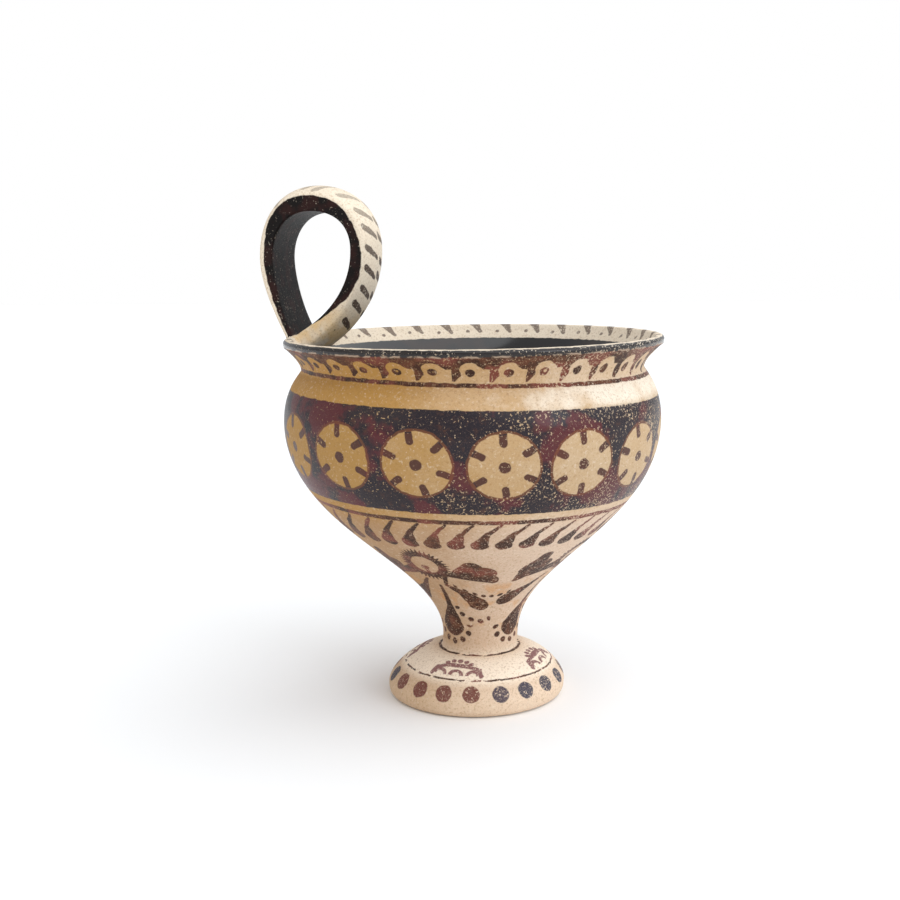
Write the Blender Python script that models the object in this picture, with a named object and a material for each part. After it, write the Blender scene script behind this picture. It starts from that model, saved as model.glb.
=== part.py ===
"""A one-handled footed cup of painted earthenware, a modern copy of an ancient drinking cup.

The clay is one piece: a turned bowl with a flaring lip, its stem and hollow foot, and a broad
strap handle that stands above the lip as a loop. Metres, +Z up. The cup stands on its foot
at z = 0, the handle is towards -X, and x = 0, y = 0 is the middle of the plan.
"""

import math

import bmesh
import bpy
from mathutils import Vector
from mathutils.geometry import interpolate_bezier

# The lip and the neck
LIP_RADIUS = 0.0825
LIP_HEIGHT = 0.1610
LIP_BAND = 0.0034
LIP_THICKNESS = 0.0044
FLARE_STEP = 0.0006
NECK_RADIUS = 0.0746
NECK_HEIGHT = 0.1474
WALL = 0.0048

# The bowl
BELLY_RADIUS = 0.0824
BELLY_HEIGHT = 0.1251
BELLY_FULLNESS = 0.0470
SHOULDER_FULLNESS = 0.0145
BOWL_FLOOR_HEIGHT = 0.0444
BOWL_FLOOR_RISE = 0.0110
FLOOR_WALL = 0.0075

# The stem and the foot
STEM_RADIUS = 0.0168
STEM_HEIGHT = 0.0264
STEM_FLARE = 0.0350
FOOT_JOIN_HEIGHT = 0.0212
FOOT_RADIUS = 0.0397
FOOT_BULGE_HEIGHT = 0.0054
FOOT_TOP_WIDTH = 0.0122
FOOT_ROUNDING = 0.0046
REST_RADIUS = 0.0346
REST_WIDTH = 0.0058
HOLLOW_HEIGHT = 0.0150

# The handle, with distances measured from the cup's axis
HANDLE_REACH = 0.0946
HANDLE_INNER_REACH = 0.0426
HANDLE_HEIGHT = 0.2268
HANDLE_CROWN = 0.0690
STRAP_WIDTH = 0.0300
STRAP_THICKNESS = 0.0082
OUTER_ARM_THICKNESS = 0.0080
STRAP_CROWN_THICKNESS = 0.0114
STRAP_SIDE = 0.55
STRAP_EDGE_RADIUS = 0.0014
OUTER_ROOT_INSET = 0.0025
OUTER_ROOT_THICKNESS = 0.0044
OUTER_ROOT_TIP = 0.0024
OUTER_ROOT_DEPTH = 0.0040
INNER_ROOT_THICKNESS = 0.0106
ROOT_SPREAD = 0.0040

# The bends of the strap, as shares of the outer root's depth, of the rise from the lip to where the
# loop is widest, and of half the loop's width
WIDEST_SHARE = 0.5167
ROOT_LEAN = 0.42
ROOT_PULL = (0.10, 0.30)
ROOT_PULL_AT_LIP = (-0.17, -0.30)
OUTER_PULL_AT_LIP = (0.124, 0.22)
OUTER_PULL = (0.0, -0.32)
CROWN_RISE = (0.0, 0.52)
CROWN_PULL_OUTER = (0.55, 0.0)
CROWN_PULL_INNER = (-0.52, 0.0)
INNER_RISE = (0.0, 0.50)
INNER_FALL = (0.0, -0.74)
INNER_PULL_AT_ROOT = (-0.70, 0.34)
SPREAD_POWER = 6
EDGE_SHARE = 0.4
NECK_BEND = 1 / 3

# How finely the curves are divided
TURNS = 48
STRAP_STEPS = 12
BOWL_STEPS = 17
BOWL_INSIDE_STEPS = 20
STRAP_STRETCHES = (3, 9, 9, 8, 11)

AXIS_X = (HANDLE_REACH - LIP_RADIUS) / 2
HANDLE_WIDEST_HEIGHT = LIP_HEIGHT + WIDEST_SHARE * (HANDLE_HEIGHT - LIP_HEIGHT)
OUTER_ROOT_REACH = LIP_RADIUS - OUTER_ROOT_INSET


def curve(start, start_pull, end, end_pull, points):
    """Points of a Bezier curve of (radius, height), without the first one."""
    ends = [Vector((start[0], 0.0, start[1])), Vector((end[0], 0.0, end[1]))]
    handles = [
        ends[0] + Vector((start_pull[0], 0.0, start_pull[1])),
        ends[1] + Vector((end_pull[0], 0.0, end_pull[1])),
    ]
    found = interpolate_bezier(ends[0], handles[0], handles[1], ends[1], points + 1)
    return [(point.x, point.z) for point in found[1:]]


def arc(centre, radius, start, end, points):
    """Points of an arc of (radius, height) round a centre, angles in degrees."""
    found = []
    for step in range(points):
        angle = math.radians(start + (end - start) * step / (points - 1))
        found.append((centre[0] + radius * math.cos(angle), centre[1] + radius * math.sin(angle)))
    return found


def bowl_outside(points):
    """Down the outside of the bowl, from the belly to the stem."""
    belly = (BELLY_RADIUS, BELLY_HEIGHT)
    stem = (STEM_RADIUS, STEM_HEIGHT)
    return [belly] + curve(belly, (0.0, -BELLY_FULLNESS), stem, (0.0, STEM_FLARE), points)


def bowl_inside(points):
    """Down the inside of the bowl, a wall's thickness in from the outside, to above the floor.
    The wall thickens from the belly down."""
    outside = bowl_outside(points)
    found = []
    for number in range(1, points):
        before, here, after = (Vector(point) for point in outside[number - 1:number + 2])
        along = (after - before).normalized()
        thickness = WALL + (FLOOR_WALL - WALL) * number / points
        inside = here + thickness * Vector((along.y, -along.x))
        if inside.y < BOWL_FLOOR_HEIGHT + BOWL_FLOOR_RISE:
            break
        found.append((inside.x, inside.y))
    return found


def inner_profile():
    """From the middle of the bowl's floor up the inside to the lip."""
    floor = (0.0, BOWL_FLOOR_HEIGHT)
    belly = (BELLY_RADIUS - WALL, BELLY_HEIGHT)
    neck = (NECK_RADIUS - WALL, NECK_HEIGHT)
    mouth = (LIP_RADIUS - LIP_THICKNESS, LIP_HEIGHT - LIP_BAND / 2)
    side = bowl_inside(BOWL_INSIDE_STEPS)
    slope = Vector(side[-1]) - Vector(side[-2])
    turn = slope.normalized() * BOWL_FLOOR_RISE
    points = [floor]
    points += curve(floor, (side[-1][0] / 2, 0.0), side[-1], turn, 4)
    points += side[-2::-1]
    points.append(belly)
    points += curve(belly, (0.0, SHOULDER_FULLNESS), neck, (0.0, -WALL / 2), 5)
    points += curve(neck, (0.0, WALL / 2), mouth, (-LIP_THICKNESS / 2, -LIP_THICKNESS / 2), 4)
    return points


def lip_profile():
    """Over the rounded lip and down its outer band."""
    round_off = LIP_BAND / 2
    crown = arc((LIP_RADIUS - LIP_THICKNESS + round_off, LIP_HEIGHT - round_off), round_off, 135, 90, 3)
    corner = arc((LIP_RADIUS - round_off, LIP_HEIGHT - round_off), round_off, 75, 0, 4)
    band_foot = (LIP_RADIUS - FLARE_STEP / 2, LIP_HEIGHT - LIP_BAND)
    return crown + corner + [band_foot]


def outer_profile():
    """Down the outside, from under the lip to the stem."""
    flare = (LIP_RADIUS - 2 * FLARE_STEP, LIP_HEIGHT - LIP_BAND - FLARE_STEP)
    neck = (NECK_RADIUS, NECK_HEIGHT)
    belly = (BELLY_RADIUS, BELLY_HEIGHT)
    drop = flare[1] - NECK_HEIGHT
    points = [flare]
    bend = NECK_BEND * drop
    points += curve(flare, (-bend, -bend), neck, (0.0, bend), 5)
    points += curve(neck, (0.0, -WALL / 4), belly, (0.0, SHOULDER_FULLNESS), 7)
    points += bowl_outside(BOWL_STEPS)[1:]
    return points


def foot_profile():
    """Down the foot's top and rim, across the ring it rests on, and up into the hollow."""
    join = (STEM_RADIUS, FOOT_JOIN_HEIGHT)
    bulge = (FOOT_RADIUS, FOOT_BULGE_HEIGHT)
    rest = (REST_RADIUS, 0.0)
    rest_inside = (REST_RADIUS - REST_WIDTH, 0.0)
    top = (0.0, HOLLOW_HEIGHT)
    points = [join]
    points += curve(join, (FOOT_TOP_WIDTH, 0.0), bulge, (0.0, FOOT_ROUNDING), 8)
    points += curve(bulge, (0.0, -FOOT_BULGE_HEIGHT / 2), rest, (FOOT_RADIUS - REST_RADIUS, 0.0), 4)
    points.append(rest_inside)
    points += curve(rest_inside, (0.0, HOLLOW_HEIGHT / 2), top, (REST_RADIUS / 2, 0.0), 6)
    return points


def turned_cup(material):
    """The bowl, stem and foot, turned from one profile."""
    mesh = bpy.data.meshes.new("chalice")
    shape = bmesh.new()
    points = inner_profile() + lip_profile() + outer_profile() + foot_profile()
    corners = [shape.verts.new((radius, 0.0, height)) for radius, height in points]
    for first, second in zip(corners, corners[1:]):
        shape.edges.new((first, second))
    shape.to_mesh(mesh)
    shape.free()
    cup = bpy.data.objects.new("chalice", mesh)
    cup.location.x = AXIS_X
    cup.data.materials.append(material)
    bpy.context.scene.collection.objects.link(cup)
    screw = cup.modifiers.new("turned", "SCREW")
    screw.axis = "Z"
    screw.steps = TURNS
    screw.render_steps = TURNS
    screw.use_merge_vertices = True
    screw.merge_threshold = 0.00001
    screw.use_smooth_shade = True
    return cup


def scaled(shares, length):
    return (shares[0] * length, shares[1] * length)


def strap_path():
    """Stations of the strap's middle line, as (reach, height), from the outer root over the crown
    to the inner root, each with the thickness of the strap there."""
    half = STRAP_THICKNESS / 2
    half_outer = OUTER_ARM_THICKNESS / 2
    half_crown = STRAP_CROWN_THICKNESS / 2
    lip_top = (OUTER_ROOT_REACH, LIP_HEIGHT)
    outer_root = (OUTER_ROOT_REACH - ROOT_LEAN * OUTER_ROOT_DEPTH, LIP_HEIGHT - OUTER_ROOT_DEPTH)
    outer = (HANDLE_REACH - half_outer, HANDLE_WIDEST_HEIGHT)
    crown = (HANDLE_CROWN, HANDLE_HEIGHT - half_crown)
    inner = (HANDLE_INNER_REACH + half, HANDLE_WIDEST_HEIGHT + half)
    root_depth = INNER_ROOT_THICKNESS / 2
    inner_root = (LIP_RADIUS - root_depth, LIP_HEIGHT - root_depth)
    rise = HANDLE_WIDEST_HEIGHT - LIP_HEIGHT
    side = (HANDLE_REACH - HANDLE_INNER_REACH) / 2
    stretches = [
        (outer_root, scaled(ROOT_PULL, OUTER_ROOT_DEPTH), lip_top,
         scaled(ROOT_PULL_AT_LIP, OUTER_ROOT_DEPTH), OUTER_ROOT_TIP, OUTER_ROOT_THICKNESS),
        (lip_top, scaled(OUTER_PULL_AT_LIP, rise), outer, scaled(OUTER_PULL, rise),
         OUTER_ROOT_THICKNESS, OUTER_ARM_THICKNESS),
        (outer, scaled(CROWN_RISE, side), crown, scaled(CROWN_PULL_OUTER, side),
         OUTER_ARM_THICKNESS, STRAP_CROWN_THICKNESS),
        (crown, scaled(CROWN_PULL_INNER, side), inner, scaled(INNER_RISE, side),
         STRAP_CROWN_THICKNESS, STRAP_THICKNESS),
        (inner, scaled(INNER_FALL, side), inner_root, scaled(INNER_PULL_AT_ROOT, side),
         STRAP_THICKNESS, INNER_ROOT_THICKNESS),
    ]
    stations = [(outer_root, OUTER_ROOT_TIP)]
    for stretch, points in zip(stretches, STRAP_STRETCHES):
        start, start_pull, end, end_pull, first, last = stretch
        for step, point in enumerate(curve(start, start_pull, end, end_pull, points), 1):
            blend = (1 - math.cos(math.pi * step / points)) / 2
            stations.append((point, first + (last - first) * blend))
    return stations


def strap_section(width, thickness):
    """The strap's outline as (across, out): a flat inner face, upright sides and a domed back."""
    half = width / 2
    bottom = -thickness / 2
    side = bottom + STRAP_SIDE * thickness
    dome = thickness - STRAP_SIDE * thickness
    edge = min(STRAP_EDGE_RADIUS, EDGE_SHARE * STRAP_SIDE * thickness)
    outline = arc((half - edge, bottom + edge), edge, -90, 0, 3)
    for step in range(STRAP_STEPS + 1):
        angle = math.pi * step / STRAP_STEPS
        outline.append((half * math.cos(angle), side + dome * math.sin(angle)))
    outline += arc((edge - half, bottom + edge), edge, 180, 270, 3)
    return outline


def strap_handle(cup, material):
    """The strap, lofted along its path. Both ends lie inside the clay of the lip."""
    stations = strap_path()
    shape = bmesh.new()
    rings = []
    for number, (point, thickness) in enumerate(stations):
        before = stations[max(number - 1, 0)][0]
        after = stations[min(number + 1, len(stations) - 1)][0]
        along = Vector((after[0] - before[0], after[1] - before[1])).normalized()
        out = Vector((along.y, -along.x))
        share = 2 * abs(number / (len(stations) - 1) - 0.5)
        width = STRAP_WIDTH + ROOT_SPREAD * share ** SPREAD_POWER
        ring = []
        for across, away in strap_section(width, thickness):
            reach = point[0] + out.x * away
            height = point[1] + out.y * away
            ring.append(shape.verts.new((-reach, across, height)))
        rings.append(ring)
    for first, second in zip(rings, rings[1:]):
        for corner in range(len(first)):
            following = (corner + 1) % len(first)
            face = (first[corner], first[following], second[following], second[corner])
            shape.faces.new(face).smooth = True
    shape.faces.new(rings[0])
    shape.faces.new(rings[-1])
    bmesh.ops.recalc_face_normals(shape, faces=shape.faces)
    mesh = bpy.data.meshes.new("strap")
    shape.to_mesh(mesh)
    shape.free()
    strap = bpy.data.objects.new("strap", mesh)
    strap.parent = cup
    strap.hide_render = True
    strap.display_type = "WIRE"
    strap.data.materials.append(material)
    bpy.context.scene.collection.objects.link(strap)
    return strap


def painted_clay():
    """Cream slip with brown paint, seen from far enough off to be one colour."""
    material = bpy.data.materials.new("painted_clay")
    material.use_nodes = True
    shader = material.node_tree.nodes["Principled BSDF"]
    shader.inputs["Base Color"].default_value = (0.50, 0.34, 0.19, 1.0)
    shader.inputs["Roughness"].default_value = 0.62
    shader.inputs["Metallic"].default_value = 0.0
    return material


def build():
    for old in list(bpy.data.objects):
        bpy.data.objects.remove(old, do_unlink=True)
    clay = painted_clay()
    cup = turned_cup(clay)
    strap = strap_handle(cup, clay)
    join = cup.modifiers.new("handle", "BOOLEAN")
    join.operation = "UNION"
    join.use_self = True
    join.object = strap


build()
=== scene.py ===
import math

import bpy
import numpy as np
from mathutils import Matrix, Vector
from mathutils.kdtree import KDTree


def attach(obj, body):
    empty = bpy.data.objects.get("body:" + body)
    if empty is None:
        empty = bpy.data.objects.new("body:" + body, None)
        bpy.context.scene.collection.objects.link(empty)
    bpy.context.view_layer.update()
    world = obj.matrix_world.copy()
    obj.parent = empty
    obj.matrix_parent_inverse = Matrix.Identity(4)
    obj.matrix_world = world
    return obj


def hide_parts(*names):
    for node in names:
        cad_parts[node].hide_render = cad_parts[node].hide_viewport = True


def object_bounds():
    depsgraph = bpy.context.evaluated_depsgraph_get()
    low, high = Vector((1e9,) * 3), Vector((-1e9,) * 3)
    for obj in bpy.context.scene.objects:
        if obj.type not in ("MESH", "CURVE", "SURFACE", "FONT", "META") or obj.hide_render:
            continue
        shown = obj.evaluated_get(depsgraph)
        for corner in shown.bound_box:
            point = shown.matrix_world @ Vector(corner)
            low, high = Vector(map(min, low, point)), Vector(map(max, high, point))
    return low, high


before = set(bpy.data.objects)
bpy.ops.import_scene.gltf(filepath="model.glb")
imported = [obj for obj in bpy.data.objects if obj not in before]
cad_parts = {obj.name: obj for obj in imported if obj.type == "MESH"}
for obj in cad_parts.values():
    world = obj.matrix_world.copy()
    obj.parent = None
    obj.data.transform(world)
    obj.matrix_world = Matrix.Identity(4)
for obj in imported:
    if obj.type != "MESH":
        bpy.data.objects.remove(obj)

cad_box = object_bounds()


# The view: the camera stands a little to the right of the cup's own side, just above the height of
# the lip, and looks slightly down on it.
LIP_RADIUS = cad_box[1][1]
AXIS_X = cad_box[1][0] - LIP_RADIUS
VIEW_AZIMUTH = math.radians(12.5)
VIEW_DISTANCE = 0.5526
VIEW_HEIGHT = 0.1981
VIEW_DOWN = math.radians(9.03)
VIEW_LEFT = math.radians(1.13)
VIEW_ROLL = math.radians(-0.87)
VIEW_LENS = 50.47

to_right = Vector((math.cos(VIEW_AZIMUTH), math.sin(VIEW_AZIMUTH), 0.0))
to_camera = Vector((math.sin(VIEW_AZIMUTH), -math.cos(VIEW_AZIMUTH), 0.0))
inwards = -math.sin(VIEW_LEFT) * to_right - math.cos(VIEW_LEFT) * to_camera
ahead = math.cos(VIEW_DOWN) * inwards - math.sin(VIEW_DOWN) * Vector((0.0, 0.0, 1.0))
beside = math.cos(VIEW_LEFT) * to_right - math.sin(VIEW_LEFT) * to_camera
above = beside.cross(ahead)
across = math.cos(VIEW_ROLL) * beside + math.sin(VIEW_ROLL) * above
upright = math.cos(VIEW_ROLL) * above - math.sin(VIEW_ROLL) * beside

camera = bpy.data.objects.new("camera", bpy.data.cameras.new("camera"))
camera.data.lens = VIEW_LENS
camera.data.clip_start = 0.02
camera.matrix_world = Matrix.Translation(
    Vector((AXIS_X, 0.0, VIEW_HEIGHT)) + VIEW_DISTANCE * to_camera
) @ Matrix((across, upright, -ahead)).transposed().to_4x4()
bpy.context.scene.collection.objects.link(camera)
bpy.context.scene.camera = camera


# The bowl, stem and foot: earthenware thrown on a wheel in one piece and turned when leather hard.
# The outline is drawn once, from the middle of the foot's hollow up over the lip and down inside
# to the floor, and spun round the axis.
LIP_HEIGHT = 0.1610
LIP_BAND = 0.0034
LIP_THICKNESS = 0.0044
FLARE_STEP = 0.0006
NECK = (0.0746, 0.1474)
BELLY = (0.0824, 0.1251)
STEM = (0.0168, 0.0264)
FOOT_JOIN = (0.0168, 0.0212)
FOOT_BULGE = (0.0397, 0.0054)
FOOT_TOP_WIDTH = 0.0122
FOOT_ROUNDING = 0.0046
JOIN_ROUNDING = 0.0012
JOIN_RISE = 0.0011
STEM_START = 0.0020
REST = (0.0346, 0.0)
REST_INSIDE = (0.0288, 0.0)
SLIGHT_PULL = 0.001
HOLLOW = (0.0, 0.0150)
FLOOR = (0.0, 0.0444)
FLOOR_RISE = 0.0110
WALL = 0.0048
FLOOR_WALL = 0.0075
BELLY_FULLNESS = 0.0470
SHOULDER_FULLNESS = 0.0145
STEM_FLARE = 0.0350
TURNS = 224
SHORTEST_STEP = 0.00005
WELD = 0.00002


def drawn(start, start_pull, end, end_pull, points):
    """Points of a curve of (radius, height), without the first one."""
    share = np.linspace(0.0, 1.0, points + 1)[1:, None]
    first, last = np.array(start), np.array(end)
    second, third = first + start_pull, last + end_pull
    rest = 1.0 - share
    return (rest ** 3 * first + 3 * rest ** 2 * share * second
            + 3 * rest * share ** 2 * third + share ** 3 * last)


def rounded(centre, radius, start, end, points):
    """Points of an arc of (radius, height), angles in degrees."""
    angle = np.radians(np.linspace(start, end, points))
    return np.column_stack((centre[0] + radius * np.cos(angle), centre[1] + radius * np.sin(angle)))


def wall_inside(outside):
    """The inside of the bowl, the wall's thickness in from the outside. It thickens downwards."""
    along = np.gradient(outside, axis=0)
    along /= np.linalg.norm(along, axis=1)[:, None]
    share = np.linspace(0.0, 1.0, len(outside))[:, None]
    inward = np.column_stack((along[:, 1], -along[:, 0]))
    inside = outside + (WALL + (FLOOR_WALL - WALL) * share) * inward
    return inside[inside[:, 1] > FLOOR[1] + FLOOR_RISE]


foot = np.vstack((
    [HOLLOW],
    drawn(HOLLOW, (REST[0] / 2, 0.0), REST_INSIDE, (0.0, HOLLOW[1] / 2), 16),
    drawn(REST_INSIDE, (SLIGHT_PULL, 0.0), REST, (-SLIGHT_PULL, 0.0), 4),
    drawn(REST, (FOOT_BULGE[0] - REST[0], 0.0), FOOT_BULGE, (0.0, -FOOT_BULGE[1] / 2), 10),
    drawn(FOOT_BULGE, (0.0, FOOT_ROUNDING), FOOT_JOIN, (FOOT_TOP_WIDTH, 0.0), 32)[:-1],
    rounded((FOOT_JOIN[0] + JOIN_ROUNDING, FOOT_JOIN[1] + JOIN_RISE), JOIN_ROUNDING, 262, 184, 5),
    drawn((FOOT_JOIN[0], FOOT_JOIN[1] + STEM_START), (0.0, SLIGHT_PULL), STEM, (0.0, -SLIGHT_PULL), 4),
))
bowl = drawn(STEM, (0.0, STEM_FLARE), BELLY, (0.0, -BELLY_FULLNESS), 118)
flare = (LIP_RADIUS - 2 * FLARE_STEP, LIP_HEIGHT - LIP_BAND - FLARE_STEP)
neck_drop = flare[1] - NECK[1]
neck = np.vstack((
    drawn(BELLY, (0.0, SHOULDER_FULLNESS), NECK, (0.0, -WALL / 4), 22),
    drawn(NECK, (0.0, neck_drop / 3), flare, (-neck_drop / 3, -neck_drop / 3), 14),
))
edge = LIP_BAND / 2
lip = np.vstack((
    [(LIP_RADIUS - FLARE_STEP / 2, LIP_HEIGHT - LIP_BAND)],
    rounded((LIP_RADIUS - edge, LIP_HEIGHT - edge), edge, 0, 90, 7),
    rounded((LIP_RADIUS - LIP_THICKNESS + edge, LIP_HEIGHT - edge), edge, 95, 135, 4),
))
mouth = (LIP_RADIUS - LIP_THICKNESS, LIP_HEIGHT - edge)
neck_inside = (NECK[0] - WALL, NECK[1])
belly_inside = (BELLY[0] - WALL, BELLY[1])
low_wall = wall_inside(np.vstack((bowl[::-1], [STEM])))[1::2]
turn = low_wall[-1] - low_wall[-2]
turn *= FLOOR_RISE / np.linalg.norm(turn)
inside = np.vstack((
    drawn(mouth, (-LIP_THICKNESS / 2, -LIP_THICKNESS / 2), neck_inside, (0.0, WALL / 2), 12),
    drawn(neck_inside, (0.0, -WALL / 2), belly_inside, (0.0, SHOULDER_FULLNESS), 16),
    low_wall,
    drawn(low_wall[-1], turn, FLOOR, (low_wall[-1][0] / 2, 0.0), 14),
))
outline = np.vstack((foot, bowl, neck, lip, inside))
steps = np.linalg.norm(np.diff(outline, axis=0), axis=1)
keep = np.concatenate(([True], steps > SHORTEST_STEP))
outline = outline[keep]
walked = np.concatenate(([0.0], np.cumsum(np.linalg.norm(np.diff(outline, axis=0), axis=1))))
resting = np.argmin(np.linalg.norm(outline - np.array(REST), axis=1))
climb = walked - walked[resting]

mesh = bpy.data.meshes.new("cup")
corners = [(AXIS_X + radius, 0.0, height) for radius, height in outline]
mesh.from_pydata(corners, [(n, n + 1) for n in range(len(corners) - 1)], [])
mesh.attributes.new("climb", "FLOAT", "POINT").data.foreach_set("value", climb)
cup = bpy.data.objects.new("cup", mesh)
bpy.context.scene.collection.objects.link(cup)
bpy.ops.object.select_all(action="DESELECT")
cup.select_set(True)
bpy.context.view_layer.objects.active = cup
bpy.ops.object.mode_set(mode="EDIT")
bpy.ops.mesh.select_all(action="SELECT")
bpy.ops.mesh.spin(steps=TURNS, angle=2 * math.pi, center=(AXIS_X, 0.0, 0.0), axis=(0.0, 0.0, 1.0))
bpy.ops.mesh.select_all(action="SELECT")
bpy.ops.mesh.remove_doubles(threshold=WELD)
bpy.ops.mesh.normals_make_consistent(inside=False)
bpy.ops.object.mode_set(mode="OBJECT")


def corner_values(obj, name, first, second):
    """Keeps two numbers for each corner of the mesh as a UV map, from one of each per vertex."""
    layer = obj.data.uv_layers.new(name=name)
    vertex = np.empty(len(obj.data.loops), np.int32)
    obj.data.loops.foreach_get("vertex_index", vertex)
    pairs = np.column_stack((np.asarray(first)[vertex], np.asarray(second)[vertex]))
    layer.data.foreach_set("uv", pairs.astype(np.float32).ravel())


climbed = np.empty(len(cup.data.vertices), np.float32)
cup.data.attributes["climb"].data.foreach_get("value", climbed)
corner_values(cup, "thrown", climbed, np.zeros(len(climbed)))
corner_values(cup, "pulled", np.zeros(len(climbed)), np.zeros(len(climbed)))


# The handle: a broad strap pulled from a lump of clay, bent into a loop that stands above the lip.
# Its outer end is luted on top of the lip and its inner end inside it, and both are smoothed over.
HANDLE_REACH = AXIS_X - cad_box[0][0]
HANDLE_HEIGHT = cad_box[1][2]
HANDLE_INNER_REACH = 0.0426
HANDLE_CROWN = 0.0690
WIDEST_SHARE = 0.5167
STRAP_WIDTH = 0.0300
STRAP_THICKNESS = 0.0082
OUTER_ARM_THICKNESS = 0.0080
CROWN_THICKNESS = 0.0114
OUTER_ROOT_INSET = 0.0025
OUTER_ROOT_THICKNESS = 0.0044
OUTER_ROOT_TIP = 0.0024
OUTER_ROOT_DEPTH = 0.0040
INNER_ROOT_THICKNESS = 0.0106
ROOT_SPREAD = 0.0040
SPREAD_POWER = 6
STRAP_SIDE = 0.55
STRAP_EDGE = 0.0014
EDGE_SHARE = 0.4

# The bends of the strap: at its root in metres, then as shares of the rise from the lip to where the
# loop is widest, and of half the loop's width.
ROOT_LEAN = 0.42
ROOT_PULL = (0.0004, 0.0012)
ROOT_PULL_AT_LIP = (-0.0007, -0.0012)
OUTER_PULL_AT_LIP = (0.124, 0.22)
OUTER_PULL = -0.32
CROWN_RISE = 0.52
CROWN_PULL_OUTER = 0.55
CROWN_PULL_INNER = -0.52
INNER_RISE = 0.50
INNER_FALL = -0.74
INNER_PULL_AT_ROOT = (-0.70, 0.34)

HANDLE_WIDEST_HEIGHT = LIP_HEIGHT + WIDEST_SHARE * (HANDLE_HEIGHT - LIP_HEIGHT)
OUTER_ROOT_REACH = LIP_RADIUS - OUTER_ROOT_INSET
rise = HANDLE_WIDEST_HEIGHT - LIP_HEIGHT
half_loop = (HANDLE_REACH - HANDLE_INNER_REACH) / 2
outer_root = (OUTER_ROOT_REACH - ROOT_LEAN * OUTER_ROOT_DEPTH, LIP_HEIGHT - OUTER_ROOT_DEPTH)
on_lip = (OUTER_ROOT_REACH, LIP_HEIGHT)
widest = (HANDLE_REACH - OUTER_ARM_THICKNESS / 2, HANDLE_WIDEST_HEIGHT)
crown = (HANDLE_CROWN, HANDLE_HEIGHT - CROWN_THICKNESS / 2)
inner_side = (HANDLE_INNER_REACH + STRAP_THICKNESS / 2, HANDLE_WIDEST_HEIGHT + STRAP_THICKNESS / 2)
inner_root = (LIP_RADIUS - INNER_ROOT_THICKNESS / 2, LIP_HEIGHT - INNER_ROOT_THICKNESS / 2)
stretches = (
    (outer_root, ROOT_PULL, on_lip, ROOT_PULL_AT_LIP, OUTER_ROOT_TIP, OUTER_ROOT_THICKNESS, 4),
    (on_lip, (OUTER_PULL_AT_LIP[0] * rise, OUTER_PULL_AT_LIP[1] * rise), widest,
     (0.0, OUTER_PULL * rise), OUTER_ROOT_THICKNESS, OUTER_ARM_THICKNESS, 34),
    (widest, (0.0, CROWN_RISE * half_loop), crown, (CROWN_PULL_OUTER * half_loop, 0.0),
     OUTER_ARM_THICKNESS, CROWN_THICKNESS, 36),
    (crown, (CROWN_PULL_INNER * half_loop, 0.0), inner_side, (0.0, INNER_RISE * half_loop),
     CROWN_THICKNESS, STRAP_THICKNESS, 34),
    (inner_side, (0.0, INNER_FALL * half_loop), inner_root,
     (INNER_PULL_AT_ROOT[0] * half_loop, INNER_PULL_AT_ROOT[1] * half_loop),
     STRAP_THICKNESS, INNER_ROOT_THICKNESS, 50),
)
middle, thickness = [np.array([outer_root])], [np.array([OUTER_ROOT_TIP])]
for start, start_pull, end, end_pull, thick_start, thick_end, points in stretches:
    middle.append(drawn(start, start_pull, end, end_pull, points))
    blend = (1 - np.cos(np.pi * np.arange(1, points + 1) / points)) / 2
    thickness.append(thick_start + (thick_end - thick_start) * blend)
middle, thickness = np.vstack(middle), np.concatenate(thickness)
pulled_length = np.concatenate(([0.0], np.cumsum(np.linalg.norm(np.diff(middle, axis=0), axis=1))))
heading = np.gradient(middle, axis=0)
heading /= np.linalg.norm(heading, axis=1)[:, None]
outwards = np.column_stack((heading[:, 1], -heading[:, 0]))


def strap_section(width, thick):
    """The strap's outline as (across, out): a flat inner face, upright sides and a domed back."""
    half = width / 2
    low = -thick / 2
    soft = min(STRAP_EDGE, EDGE_SHARE * STRAP_SIDE * thick)
    dome = (1 - STRAP_SIDE) * thick
    angle = np.radians(np.linspace(0, 180, 33))
    back = np.column_stack((half * np.cos(angle), low + STRAP_SIDE * thick + dome * np.sin(angle)))
    right = rounded((half - soft, low + soft), soft, -90, 0, 5)
    left = rounded((soft - half, low + soft), soft, 180, 270, 5)
    face = np.column_stack((np.linspace(soft - half, half - soft, 18)[1:-1], np.full(16, low)))
    return np.vstack((right, back, left, face, right[:1]))


rings = []
for number in range(len(middle)):
    end_share = abs(2 * number / (len(middle) - 1) - 1)
    rings.append(strap_section(STRAP_WIDTH + ROOT_SPREAD * end_share ** SPREAD_POWER, thickness[number]))
rings = np.array(rings)
along_count, around_count = rings.shape[:2]

bpy.ops.object.select_all(action="DESELECT")
bpy.ops.mesh.primitive_grid_add(x_subdivisions=around_count - 1, y_subdivisions=along_count - 1, size=1)
strap = bpy.context.active_object
strap.name = "strap"
flat = np.empty(len(strap.data.vertices) * 3)
strap.data.vertices.foreach_get("co", flat)
flat = flat.reshape(-1, 3)
column = np.rint((flat[:, 0] + 0.5) * (around_count - 1)).astype(int)
row = np.rint((flat[:, 1] + 0.5) * (along_count - 1)).astype(int)
sideways, away = rings[row, column, 0], rings[row, column, 1]
reach = middle[row, 0] + outwards[row, 0] * away
height = middle[row, 1] + outwards[row, 1] * away
strap.data.vertices.foreach_set("co", np.column_stack((AXIS_X - reach, sideways, height)).ravel())
while strap.data.uv_layers:
    strap.data.uv_layers.remove(strap.data.uv_layers[0])
corner_values(strap, "thrown", np.zeros(len(row)), np.ones(len(row)))
corner_values(strap, "pulled", pulled_length[row], away)
bpy.ops.object.mode_set(mode="EDIT")
bpy.ops.mesh.select_all(action="SELECT")
bpy.ops.mesh.remove_doubles(threshold=WELD)
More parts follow.
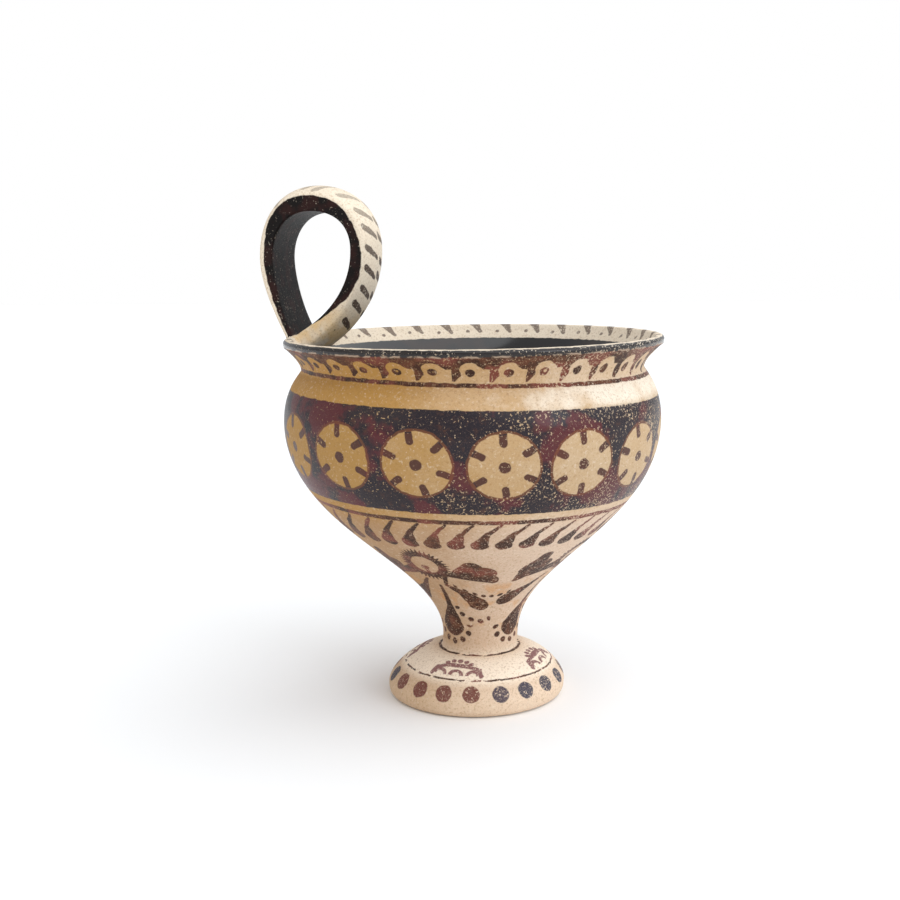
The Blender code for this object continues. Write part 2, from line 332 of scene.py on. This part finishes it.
bpy.ops.mesh.select_all(action="DESELECT")
bpy.ops.mesh.select_non_manifold()
bpy.ops.mesh.fill_holes(sides=0)
bpy.ops.mesh.select_all(action="SELECT")
bpy.ops.mesh.normals_make_consistent(inside=False)
bpy.ops.object.mode_set(mode="OBJECT")

before_joining = [vertex.co.copy() for obj in (cup, strap) for vertex in obj.data.vertices]
bpy.ops.object.select_all(action="DESELECT")
cup.select_set(True)
bpy.context.view_layer.objects.active = cup
join = cup.modifiers.new("luting", "BOOLEAN")
join.operation = "UNION"
join.solver = "EXACT"
join.use_self = True
join.object = strap
bpy.ops.object.modifier_apply(modifier=join.name)
bpy.data.objects.remove(strap)

# The potter's finger smooths the clay where the strap meets the lip.
FILLET = 0.0048
UNMOVED = 0.00001
known = KDTree(len(before_joining))
for number, place in enumerate(before_joining):
    known.insert(place, number)
known.balance()
seam = [v.co.copy() for v in cup.data.vertices if known.find(v.co)[2] > UNMOVED]
seams = KDTree(max(len(seam), 1))
for number, place in enumerate(seam):
    seams.insert(place, number)
seams.balance()
smoothed = cup.vertex_groups.new(name="smoothed")
for vertex in cup.data.vertices:
    if abs(vertex.co.y) < STRAP_WIDTH and vertex.co.x < AXIS_X and seam:
        distance = seams.find(vertex.co)[2]
        if distance < FILLET:
            smoothed.add([vertex.index], 1 - (distance / FILLET) ** 2, "REPLACE")
finger = cup.modifiers.new("finger", "SMOOTH")
finger.vertex_group = "smoothed"
finger.factor = 0.5
finger.iterations = 24
bpy.ops.object.modifier_apply(modifier=finger.name)

# Thrown clay is never quite true: the foot stands a little off the axis and the bowl leans back.
LEAN_HEIGHTS = (0.000, 0.028, 0.055, 0.085, 0.115, 0.145, 0.158, 0.230)
LEAN_SHIFTS = (-0.0009, 0.0019, 0.0010, -0.0004, -0.0010, -0.0008, 0.0, 0.0)
places = np.empty(len(cup.data.vertices) * 3)
cup.data.vertices.foreach_get("co", places)
places = places.reshape(-1, 3)
knots = np.array(LEAN_HEIGHTS)
fine = np.linspace(knots[0], knots[-1], 400)
shift = np.interp(fine, knots, LEAN_SHIFTS)
softening = np.hanning(41)
shift = np.convolve(np.pad(shift, 20, mode="edge"), softening / softening.sum(), mode="valid")
lean = np.interp(places[:, 2], fine, shift)
places += lean[:, None] * np.array(to_right)
cup.data.vertices.foreach_set("co", places.ravel())
cup.data.update()
cup.data.shade_smooth()


# The slip and paint: a cream slip over the whole cup, then bands and motifs brushed on in a paint
# that fires black, brown or wine red, and wears off in pale specks. The inside is glossy black.
# All measures are in millimetres on the clay.
material = bpy.data.materials.new("painted_clay")
material.use_nodes = True
nodes, links = material.node_tree.nodes, material.node_tree.links
nodes.clear()


class Measure:
    """A number that differs from place to place on the clay."""

    def __init__(self, socket):
        self.socket = socket

    def __add__(self, other):
        return reckon("ADD", self, other)

    __radd__ = __add__

    def __sub__(self, other):
        return reckon("SUBTRACT", self, other)

    def __rsub__(self, other):
        return reckon("SUBTRACT", other, self)

    def __mul__(self, other):
        return reckon("MULTIPLY", self, other)

    __rmul__ = __mul__

    def __truediv__(self, other):
        return reckon("DIVIDE", self, other)

    def __neg__(self):
        return reckon("MULTIPLY", self, -1.0)


def feed(socket, value):
    if isinstance(value, Measure):
        links.new(value.socket, socket)
    else:
        socket.default_value = value


def reckon(operation, *values, clamp=False):
    node = nodes.new("ShaderNodeMath")
    node.operation = operation
    node.use_clamp = clamp
    for socket, value in zip(node.inputs, values):
        feed(socket, value)
    return Measure(node.outputs[0])


def steer(operation, *values, result="Vector"):
    """Sums on places; MULTIPLY_ADD takes three, the others two."""
    node = nodes.new("ShaderNodeVectorMath")
    node.operation = operation
    for socket, value in zip(node.inputs, values):
        feed(socket, value)
    return Measure(node.outputs[result])


def stretched(share, run):
    node = nodes.new("ShaderNodeVectorMath")
    node.operation = "SCALE"
    feed(node.inputs["Vector"], run)
    feed(node.inputs["Scale"], share)
    return Measure(node.outputs["Vector"])


def spot(x, y, z=0.0):
    node = nodes.new("ShaderNodeCombineXYZ")
    for socket, value in zip(node.inputs, (x, y, z)):
        feed(socket, value)
    return Measure(node.outputs[0])


def parts(vector):
    node = nodes.new("ShaderNodeSeparateXYZ")
    feed(node.inputs[0], vector)
    return [Measure(socket) for socket in node.outputs]


def most(*values):
    found = values[0]
    for value in values[1:]:
        found = reckon("MAXIMUM", found, value)
    return found


def least(*values):
    found = values[0]
    for value in values[1:]:
        found = reckon("MINIMUM", found, value)
    return found


def size(value):
    return reckon("ABSOLUTE", value)


def inked(distance, softness=0.35):
    """1 inside a shape and 0 outside it, from the distance to its edge."""
    return reckon("MULTIPLY_ADD", distance, -1.0 / softness, 0.5, clamp=True)


def eased(value, low, high):
    """0 below low and 1 above high, with a soft step between."""
    node = nodes.new("ShaderNodeMapRange")
    node.interpolation_type = "SMOOTHSTEP"
    feed(node.inputs["Value"], value)
    node.inputs["From Min"].default_value = low
    node.inputs["From Max"].default_value = high
    return Measure(node.outputs["Result"])


def grain(where, scale, detail=2.0, roughness=0.5, colour=False):
    """Clouded noise whose features are about 1 / scale millimetres across."""
    node = nodes.new("ShaderNodeTexNoise")
    feed(node.inputs["Vector"], where)
    node.inputs["Scale"].default_value = scale
    node.inputs["Detail"].default_value = detail
    node.inputs["Roughness"].default_value = roughness
    return Measure(node.outputs["Color" if colour else "Fac"])


def chance(number, seed=0.0):
    node = nodes.new("ShaderNodeTexWhiteNoise")
    node.noise_dimensions = "1D"
    feed(node.inputs["W"], number + seed)
    return Measure(node.outputs["Value"])


def mixed(share, first, second):
    node = nodes.new("ShaderNodeMix")
    node.data_type = "RGBA"
    feed(node.inputs[0], share)
    feed(node.inputs[6], first)
    feed(node.inputs[7], second)
    return Measure(node.outputs[2])


def earth(text):
    """A colour, from its usual six hex digits."""
    values = [int(text[n:n + 2], 16) / 255 for n in (0, 2, 4)]
    return tuple(v / 12.92 if v <= 0.04045 else ((v + 0.055) / 1.055) ** 2.4 for v in values) + (1.0,)


MILLIMETRES = (1000.0, 1000.0, 1000.0)
DEGREE = math.pi / 180
BRUSH_WANDER = 0.6
BAND_SLOPE = 2.2


def corner_pair(name):
    node = nodes.new("ShaderNodeUVMap")
    node.uv_map = name
    return parts(steer("MULTIPLY", Measure(node.outputs[0]), MILLIMETRES))[:2]


coordinates = nodes.new("ShaderNodeTexCoord")
here = steer("MULTIPLY", Measure(coordinates.outputs["Object"]), MILLIMETRES)
fore, beam, upward = parts(here)
fore = fore - AXIS_X * MILLIMETRES[0]
to_the_right = fore * to_right.x + beam * to_right.y
to_the_front = fore * to_camera.x + beam * to_camera.y
radius = reckon("SQRT", to_the_right * to_the_right + to_the_front * to_the_front)
turned = reckon("DEGREES", reckon("ARCTAN2", to_the_right, to_the_front))

# Up the clay from the ring that the cup stands on, the foot's edge ends at 20, the stem starts at 37,
# the dark band runs from 135 to 179, and the lip's crest is at 207.
climbed_here, strap_here = corner_pair("thrown")
strap_along, strap_out = corner_pair("pulled")

# The strap's corners carry a 1 where the cup's carry a 0, and that is 1000 in millimetres.
on_strap = reckon("GREATER_THAN", strap_here, MILLIMETRES[0] / 2)
wander = nodes.new("ShaderNodeSeparateColor")
feed(wander.inputs[0], grain(here, 0.32, 3, colour=True))
wander_x, wander_y, wander_z = [(Measure(hue) - 0.5) * (2 * BRUSH_WANDER) for hue in wander.outputs]
slope = eased(climbed_here, 95, 128) * (1 - eased(climbed_here, 190, 203)) * BAND_SLOPE
level = climbed_here + wander_y + slope * reckon("SINE", turned * DEGREE)
side = eased(to_the_right, -62, 62)


def spaced(count, first, drift=0.0, seed=0.0):
    """Across and up from the nearest of a ring of like motifs, and that motif's number."""
    share = (turned - first) * (count / 360)
    number = reckon("ROUND", share)
    lot = reckon("FLOORED_MODULO", number, count)
    across_it = (share - number) * radius * (DEGREE * 360 / count) + wander_x
    if not drift:
        return across_it, level, lot
    return (across_it + (chance(lot, seed) - 0.5) * (2 * drift),
            level + (chance(lot, seed + 0.37) - 0.5) * (2 * drift), lot)


def stroke(place, start, end, start_radius, end_radius):
    """Distance to the edge of a brush stroke that widens or narrows from start to end."""
    run = np.subtract(end, start)
    from_start = steer("SUBTRACT", place, (start[0], start[1], 0.0))
    share = reckon("ADD", steer("DOT_PRODUCT", from_start, (*(run / (run @ run)), 0.0), result="Value"),
                   0.0, clamp=True)
    gap = steer("DISTANCE", from_start, stretched(share, (run[0], run[1], 0.0)), result="Value")
    return reckon("MULTIPLY_ADD", share, start_radius - end_radius, gap) - start_radius


def touch(place, x, y, spot_radius):
    return steer("DISTANCE", place, (x, y, 0.0), result="Value") - spot_radius


def beads(dx, dy, ring_radius, step, bead_radius):
    """A ring of small dots, each step degrees on from the last, from the way to its middle."""
    share = reckon("ARCTAN2", dy, dx) * (1 / (step * DEGREE))
    off_bead = (share - reckon("ROUND", share)) * (step * DEGREE * ring_radius)
    ring = reckon("SQRT", dx * dx + dy * dy) - ring_radius
    return reckon("SQRT", ring * ring + off_bead * off_bead) - bead_radius


# The slip where no paint lies: cream, yellower and darker in clouded patches where it is thick or
# soiled, pinker low down and on the foot, and whiter inside the lip. Round the front it also goes from a
# darker ochre on the left to a paler cream on the right: partly the slip's own tone, partly painted
# shade on the left and painted light on the right. Sand in the clay gives it a fine dark and pale grit.
clouds = grain(here, 0.05, 4, 0.6)
crumbs = grain(here, 1.0, 4, 0.7)
grit = grain(here, 2.3, 3, 0.7)
# Darker ochre on the left, paler cream on the right: partly the slip's tone, partly painted shade and
# painted light.
slip_and_painted_light = mixed(eased(side + (clouds - 0.5) * 0.9, 0.0, 0.6), earth("b4894b"), earth("c7a57c"))
# Whiter on the right, most of all between the band and the neck line: partly a chalky slip, partly
# painted light.
chalk_and_light_height = 0.3 + 0.7 * eased(climbed_here, 172, 180) - 0.65 * eased(climbed_here, 185, 190)
chalk_and_light = eased(side + (clouds - 0.5) * 1.2, 0.60, 1.05) * chalk_and_light_height
slip_and_painted_light = mixed(chalk_and_light, slip_and_painted_light, earth("eee0cd"))
# Below the band the slip is pinker, and darker on the left: partly its own tone, partly painted shade.
low_slip_and_shade = mixed(eased(side + (clouds - 0.5) * 0.6, 0.05, 0.8), earth("ae8c6c"), earth("dcc4b0"))
slip_and_painted_light = mixed((1 - eased(climbed_here, 122, 138)) * 0.78, slip_and_painted_light, low_slip_and_shade)
rust = eased(grain(here, 0.09, 4, 0.6), 0.50, 0.62) * eased(climbed_here, 38, 52)
slip_and_painted_light = mixed(rust * (1 - eased(climbed_here, 76, 90)) * 0.5, slip_and_painted_light, earth("cc9052"))
slip_and_painted_light = mixed((1 - eased(climbed_here, 36, 44)) * 0.45, slip_and_painted_light, earth("ecd3b6"))
# The top of the foot is made paler: painted light where light from above falls on it.
lit_foot_top = (1 - eased(climbed_here, 30, 44)) * eased(climbed_here, 16, 22)
slip_and_painted_light = mixed(lit_foot_top * 0.85, slip_and_painted_light, earth("fff0dc"))
in_windows = eased(climbed_here, 133, 137) * (1 - eased(climbed_here, 176, 180))
slip_and_painted_light = mixed(in_windows * 0.35, slip_and_painted_light, earth("9f8052"))
slip_and_painted_light = mixed(eased(climbed_here, 203.4, 205.2) * 0.85, slip_and_painted_light, earth("ecdfcb"))
root_tint = eased(strap_along, 132, 156) * eased(clouds, 0.40, 0.58)
# The strap's slip is whiter: partly its own colour, partly painted light on the handle.
slip_and_painted_light = mixed(on_strap * (0.6 + clouds * 0.5), slip_and_painted_light, earth("ede0cb"))
slip_and_painted_light = mixed(on_strap * root_tint * 0.7, slip_and_painted_light, earth("dcb36c"))
slip_and_painted_light = mixed(eased(crumbs, 0.51, 0.66) * 0.42, slip_and_painted_light, earth("98703f"))
slip_and_painted_light = mixed(eased(grit, 0.55, 0.68) * 0.35, slip_and_painted_light, earth("8a6a4c"))
slip_and_painted_light = mixed(eased(grain(here, 0.8, 4, 0.75), 0.56, 0.66) * 0.30, slip_and_painted_light, earth("f1e6d6"))

# The brown paint of the small motifs, and the wear that shows through all of the paint.
patches = grain(here, 0.06, 2)
brown = mixed(eased(grain(here, 0.12, 4, 0.7), 0.40, 0.62), earth("3a2620"), earth("66402f"))
brown = mixed(eased(grit, 0.52, 0.70) * 0.45, brown, earth("8a6852"))
brown = mixed(eased(patches + side * 0.06, 0.54, 0.66) * 0.6, brown, earth("84463d"))
pale_specks = eased(grain(here, 1.05, 4, 0.65) + patches * 0.20 + side * 0.052, 0.73, 0.765)
thin_spots = eased(grain(here, 0.8, 4, 0.75), 0.55, 0.68)

# The foot: a row of round dots on its edge, and a thin line over them.
across_dot, up_dot, dot_lot = spaced(19, -4.0, 0.3, 3.0)
foot_dots = touch(spot(across_dot, up_dot), 0.0, 14.0, 3.75)
gaps = eased(grain(here, 0.28, 3), 0.56, 0.62) * 1.2
foot_line = size(level - 20.6) - 0.42 + gaps
stem_line = size(level - 37.4) - 0.70 + gaps

# The top of the foot: four small palmettes over rows of arches.
across_palm, up_palm, _ = spaced(4, -18.0, 0.6, 5.0)
half_palm = spot(size(across_palm), up_palm)
arches = least(size(touch(half_palm, 0.0, 22.8, 2.6)), size(touch(half_palm, 7.6, 22.8, 2.6))) - 0.85
palmettes = least(
    most(arches, 22.8 - up_palm),
    stroke(half_palm, (0.0, 28.6), (4.5, 28.2), 1.3, 1.3),
    touch(half_palm, 0.0, 31.5, 1.3),
    touch(half_palm, 3.0, 31.0, 1.2),
    touch(half_palm, 5.5, 29.5, 1.2),
    stroke(half_palm, (5.0, 28.0), (10.0, 26.2), 0.9, 0.8),
    stroke(half_palm, (10.0, 26.2), (11.6, 22.6), 0.8, 1.0))

# The lower bowl: four flowers on stalks with long petals and leaves, garlands of small dots between.
across_flower, up_flower, _ = spaced(4, -27.5)
flower = spot(across_flower, up_flower)
RING_TALL = 1 / 1.18
ring_up = (up_flower - 96.4) * RING_TALL
from_ring = reckon("SQRT", across_flower * across_flower + ring_up * ring_up)
round_ring = reckon("ARCTAN2", ring_up, across_flower)
spikes = 2.1 * reckon("POWER", size(reckon("COSINE", round_ring * 17)), 2.0)
ring = least(size(from_ring - 7.6) - 1.7, most(from_ring - 8.9 - spikes, 8.0 - from_ring))
heart = least(touch(flower, -0.8, 94.1, 1.9), stroke(flower, (-0.8, 94.1), (-0.5, 88.5), 0.7, 0.9))
fan = least(
    stroke(flower, (7.0, 87.6), (20.5, 96.0), 0.7, 4.4),
    stroke(flower, (7.0, 87.6), (25.0, 91.5), 0.7, 4.4),
    stroke(flower, (7.0, 87.6), (24.0, 85.8), 0.7, 4.2))
petals = least(
    stroke(flower, (6.5, 92.0), (3.0, 79.0), 1.3, 0.9),
    stroke(flower, (3.0, 79.0), (8.0, 73.5), 0.9, 2.2),
    stroke(flower, (8.0, 73.5), (12.4, 65.6), 2.2, 4.6),
    stroke(flower, (-0.2, 78.0), (-1.5, 62.0), 0.7, 1.5),
    stroke(flower, (-1.5, 62.0), (-3.2, 51.5), 1.5, 5.8),
    stroke(flower, (-5.0, 83.0), (-9.0, 76.5), 0.8, 1.6),
    stroke(flower, (-9.0, 76.5), (-15.2, 68.5), 1.6, 4.5))
leaves = least(
    stroke(flower, (-22.5, 83.0), (-22.8, 93.0), 1.6, 5.6),
    stroke(flower, (-22.8, 93.0), (-24.0, 102.0), 5.6, 2.8),
    stroke(flower, (-21.5, 84.0), (-18.5, 93.0), 1.8, 4.6),
    stroke(flower, (-22.0, 85.0), (-8.0, 91.0), 1.5, 3.5))
bead_rings = least(
    most(beads(across_flower - 10.5, up_flower - 63.0, 8.6, 29, 1.3), up_flower - 63.0),
    most(beads(across_flower + 3.2, up_flower - 52.0, 8.6, 29, 1.3), up_flower - 52.0))
BEAD_STEP = 7.4
across_garland, up_garland, _ = spaced(4, 6.1)
garland_turn = across_garland / (radius * DEGREE)
garland_share = garland_turn * (1 / BEAD_STEP)
garland_bead = (garland_share - reckon("ROUND", garland_share)) * (BEAD_STEP * DEGREE) * radius
garland_sag = (garland_turn - 6.4) * (1 / 30)
garland = most(
    steer("LENGTH", spot(garland_bead, up_garland - 70.6 - 9 * garland_sag * garland_sag),
          result="Value") - 1.1,
    size(across_garland) - 23 * DEGREE * radius)
flowers = least(ring, heart, fan, petals, leaves, bead_rings, garland)

# Under the band: a ring of commas that lean to the right, hung from a dark line.
COMMAS = 39
across_comma, up_comma, _ = spaced(COMMAS, -8.7, 0.4, 9.0)
comma_place = spot(across_comma, up_comma)
commas = least(
    stroke(comma_place, (9.6, 128.2), (4.4, 122.6), 0.6, 1.2),
    stroke(comma_place, (4.4, 122.6), (0.9, 114.6), 1.2, 3.5),
    stroke(comma_place, (0.9, 113.8), (2.8, 113.9), 2.6, 2.0))
last_comma = spot(across_comma + radius * (DEGREE * 360 / COMMAS), up_comma)
commas = least(commas, stroke(last_comma, (9.6, 128.2), (4.4, 122.6), 0.6, 1.2))
hanging_line = size(level - 130.1) - 1.2

# The broad dark band with fifteen round windows left in the slip, each with six pegs and a dot.
across_disc, up_disc, disc_lot = spaced(15, -16.1, 0.4, 11.0)
DISC_WIDE = 13.2 / 14.0
DISC_TALL = 13.2 / 13.3
PEG_STEP = 60
disc_x, disc_y = across_disc * DISC_WIDE, (up_disc - 156.8) * DISC_TALL
disc_out = reckon("SQRT", disc_x * disc_x + disc_y * disc_y)
peg_turn = reckon("ARCTAN2", disc_y, disc_x) * (1 / DEGREE) - 38 + 10 * (chance(disc_lot, 1.0) - 0.5)
peg_share = peg_turn * (1 / PEG_STEP)
off_peg = (peg_share - reckon("ROUND", peg_share)) * disc_out * (PEG_STEP * DEGREE)
peg_reach = reckon("MAXIMUM", 9.4 - disc_out, 0.0)
pegs = reckon("SQRT", peg_reach * peg_reach + off_peg * off_peg) - 1.45
windows = most(disc_out - 13.2, 0.0 - pegs, 2.3 - disc_out)
band = most(134.9 - level, level - 178.6, 0.0 - windows)

# The neck: a thin line, then a row of small round heads with a dot each, on brown.
neck_line = size(level - 189.0) - 0.95
head_x, head_y, head_lot = spaced(33, -0.9, 0.25, 13.0)
head_place = spot(head_x, head_y)
lean_x, lean_y = head_x + 0.2, head_y - 196.4
DIAGONAL = 0.7071
HEAD_RADIUS = 3.8
under_tangent = most((lean_x + lean_y) * DIAGONAL - HEAD_RADIUS, lean_y - lean_x)
under_head = most(lean_y, -3.5 - head_x)
heads = least(touch(head_place, -0.2, 196.4, HEAD_RADIUS), under_tangent, under_head, level - 190.6)
glint = touch(head_place, 0.3, 195.0, 0.0) + chance(head_lot, 2.0) * 1.2
eyes = most(touch(head_place, 0.0, 194.8, 1.95), 0.75 - glint)
neck_ground = most(190.0 - level, level - 203.6, 0.0 - most(heads, 0.0 - eyes))

# The lip, and the slanted wedges that hang inside its flare.
lip_dashes = size(level - 203.4) - 0.35
lip_band = most(203.3 - level, level - 206.3)
wedge_x, wedge_y, _ = spaced(33, 4.0, 0.5, 15.0)
wedge_place = spot(wedge_x, wedge_y)
wedges = least(
    stroke(wedge_place, (1.6, 207.6), (-1.6, 213.2), 2.3, 0.9),
    touch(wedge_place, 4.6, 213.0, 0.9))
wedges = most(wedges, 207.2 - level)
inner_black = 216.9 - level

# The handle: dark on its inner face, with slanting dashes in two rows over its back.
STRAP_RUN = 170.0
EDGE_SPAN = 10.0
EDGE_LOW = -7.0
DARK_EDGE = ((0, -0.3), (46, -0.3), (59, 1.2), (65, 1.4), (80, 0.95), (93, 0.5), (100, -0.2),
             (109, 0.3), (116, 1.1), (123, 1.5), (128, 1.0), (134, 0.2), (140, -1.6), (146, -3.0),
             (152, -4.0), (158, -5.5), (170, -6.5))
dark_edge = nodes.new("ShaderNodeFloatCurve")
curve = dark_edge.mapping.curves[0]
shares = [(along / STRAP_RUN, (out - EDGE_LOW) / EDGE_SPAN) for along, out in DARK_EDGE]
curve.points[0].location, curve.points[1].location = shares[0], shares[-1]
for share in shares[1:-1]:
    curve.points.new(*share)
dark_edge.mapping.update()
feed(dark_edge.inputs["Value"], strap_along * (1 / STRAP_RUN))
handle_face = strap_out - (Measure(dark_edge.outputs[0]) * EDGE_SPAN + EDGE_LOW) + wander_z
DASH_STEP = 7.9
DASH_SLANT = 0.36
DASH_DRIFT = 2.6


def dash_row(first, low, high, seed):
    """A row of slanting dashes across the strap, from low to high in millimetres off its middle."""
    share = (strap_along - DASH_SLANT * (beam - (low + high) / 2) - first) * (1 / DASH_STEP)
    number = reckon("ROUND", share)
    nudge = (chance(number, seed) - 0.5) * DASH_DRIFT
    place = spot((share - number) * DASH_STEP + nudge + wander_x, beam + nudge + wander_y)
    return stroke(place, (0.0, low + 1.5), (0.0, high - 1.0), 1.6, 0.95)


last_dash = eased(strap_along, 150, 153) * 3
handle_dashes = last_dash + least(dash_row(91.5, -12.8, 0.6, 21.3), dash_row(95.5, 2.6, 13.0, 25.7))

# The coats laid one over another, each worn thin and specked.
whole = 1 - pale_specks * 0.9
rubbed = whole * (1 - thin_spots * 0.5)
small_motifs = least(foot_line, stem_line, flowers, commas, hanging_line, neck_line, neck_ground)
brown_cover = inked(small_motifs) * rubbed
coat = mixed(brown_cover, slip_and_painted_light, brown)
coat = mixed(inked(palmettes) * rubbed, coat, earth("8e6764"))
dot_colour = mixed(eased(chance(dot_lot, 4.0), 0.35, 0.6), earth("74463c"), earth("474550"))
dot_colour = mixed(eased(grit, 0.50, 0.66) * 0.5, dot_colour, earth("a08a80"))
coat = mixed(inked(foot_dots) * rubbed, coat, dot_colour)
wine = mixed(eased(grain(here, 0.055, 4, 0.6), 0.50, 0.60), earth("262026"), earth("552529"))
wine = mixed(eased(grain(here, 0.3, 4, 0.7), 0.52, 0.74) * 0.5, wine, earth("5f3c2a"))
wine = mixed(inked(size(disc_out - 13.6) - 0.6) * 0.55, wine, earth("7c4a2a"))
wine = mixed(inked(disc_out - 12.6) * 0.8, wine, earth("573426"))
wine = mixed(eased(grit, 0.52, 0.70) * 0.40, wine, earth("6b5248"))
band_cover = inked(band) * whole
coat = mixed(band_cover, coat, wine)
lip_cover = inked(lip_band) * (1 - pale_specks * 0.6)
coat = mixed(lip_cover, coat, earth("1d1615"))
coat = mixed(inked(lip_dashes) * eased(grain(here, 0.2, 2), 0.45, 0.55) * 0.7, coat, earth("b99f86"))
coat = mixed(inked(wedges) * rubbed * 0.8, coat, earth("57443c"))
coat = mixed(pale_specks * (0.1 + band_cover * 0.5), coat, earth("e0d0bd"))
inner_cover = inked(inner_black)
coat = mixed(inner_cover, coat, mixed(eased(patches, 0.45, 0.62), earth("0e0b0b"), earth("24160f")))
coat = mixed(inked(climbed_here), coat, earth("c39c72"))
handle_cover = inked(handle_face) * (1 - pale_specks * 0.35)
dash_wear = 0.45 + 0.5 * eased(strap_along, 88, 122)
handle_coat = mixed(inked(handle_dashes) * rubbed * dash_wear, slip_and_painted_light, earth("42312a"))
dark_brown = mixed(eased(grain(here, 0.15, 3), 0.45, 0.65), earth("120e0d"), earth("2b1613"))
handle_coat = mixed(handle_cover, handle_coat, dark_brown)
coat = mixed(on_strap, coat, handle_coat)

BARE_ROUGHNESS = 0.62
cup_gloss = brown_cover * 0.14 + band_cover * 0.24 + lip_cover * 0.38 + inner_cover * 0.50
gloss = cup_gloss * (1 - on_strap) + handle_cover * on_strap * 0.10
glaze = (inner_cover * 0.65 + lip_cover * 0.35 + band_cover * 0.12) * (1 - on_strap)
roughness = BARE_ROUGHNESS - gloss + (crumbs - 0.5) * 0.12
turning_lines = grain(spot(0.0, 0.0, upward), 0.45, 3)
relief = crumbs * 0.20 + grit * 0.09 + turning_lines * 0.10 - pale_specks * 0.04
relief = relief * (1 - inner_cover * 0.75)
bump = nodes.new("ShaderNodeBump")
bump.inputs["Strength"].default_value = 0.8
bump.inputs["Distance"].default_value = 0.001
feed(bump.inputs["Height"], relief)
clay = nodes.new("ShaderNodeBsdfPrincipled")
feed(clay.inputs["Base Color"], coat)
feed(clay.inputs["Roughness"], roughness)
clay.inputs["Specular IOR Level"].default_value = 0.14
feed(clay.inputs["Coat Weight"], glaze)
clay.inputs["Coat Roughness"].default_value = 0.14
clay.inputs["Coat IOR"].default_value = 1.7
links.new(bump.outputs[0], clay.inputs["Normal"])
surface = nodes.new("ShaderNodeOutputMaterial")
links.new(clay.outputs[0], surface.inputs["Surface"])

cup.data.materials.clear()
cup.data.materials.append(material)
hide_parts("chalice")
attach(cup, "root")


# The floor is plain white paper, and the light is soft: cool and bright from the right, high up and
# through a door low down, and warm and weak from the left. The room beyond is as white as the paper.
FLOOR_SIZE = 8.0
PAPER_GREY = 0.93
bpy.ops.object.select_all(action="DESELECT")
bpy.ops.mesh.primitive_plane_add(size=FLOOR_SIZE)
paper = bpy.context.active_object
paper.name = "paper"
pale = bpy.data.materials.new("pale_paper")
pale.use_nodes = True
sheet = pale.node_tree.nodes["Principled BSDF"]
sheet.inputs["Base Color"].default_value = (PAPER_GREY, PAPER_GREY, PAPER_GREY, 1.0)
sheet.inputs["Roughness"].default_value = 0.9
paper.data.materials.append(pale)

world = bpy.data.worlds.new("room")
world.use_nodes = True
room = world.node_tree
background = room.nodes["Background"]
background.inputs["Color"].default_value = (0.95, 0.97, 1.0, 1.0)
background.inputs["Strength"].default_value = 0.60
wall = room.nodes.new("ShaderNodeBackground")
wall.inputs["Color"].default_value = (1.0, 1.0, 1.0, 1.0)
seen = room.nodes.new("ShaderNodeLightPath")
either = room.nodes.new("ShaderNodeMixShader")
room.links.new(seen.outputs["Is Camera Ray"], either.inputs[0])
room.links.new(background.outputs[0], either.inputs[1])
room.links.new(wall.outputs[0], either.inputs[2])
room.links.new(either.outputs[0], room.nodes["World Output"].inputs["Surface"])
bpy.context.scene.world = world
bpy.context.scene.view_settings.view_transform = "Standard"

LAMPS = (
    ("window", (0.80, -0.12, 1.15), 100, 2.35, (0.95, 0.98, 1.0)),
    ("door", (0.85, -0.46, 0.32), 22, 0.42, (0.84, 0.91, 1.0)),
    ("lamp", (-0.70, -0.60, 0.45), 40, 0.3, (1.0, 0.84, 0.66)),
)
for name, towards, spread, power, colour in LAMPS:
    light = bpy.data.lights.new(name, "SUN")
    light.angle = math.radians(spread)
    light.energy = power
    light.color = colour
    lamp = bpy.data.objects.new(name, light)
    lamp.rotation_euler = Vector(towards).to_track_quat("Z", "Y").to_euler()
    bpy.context.scene.collection.objects.link(lamp)
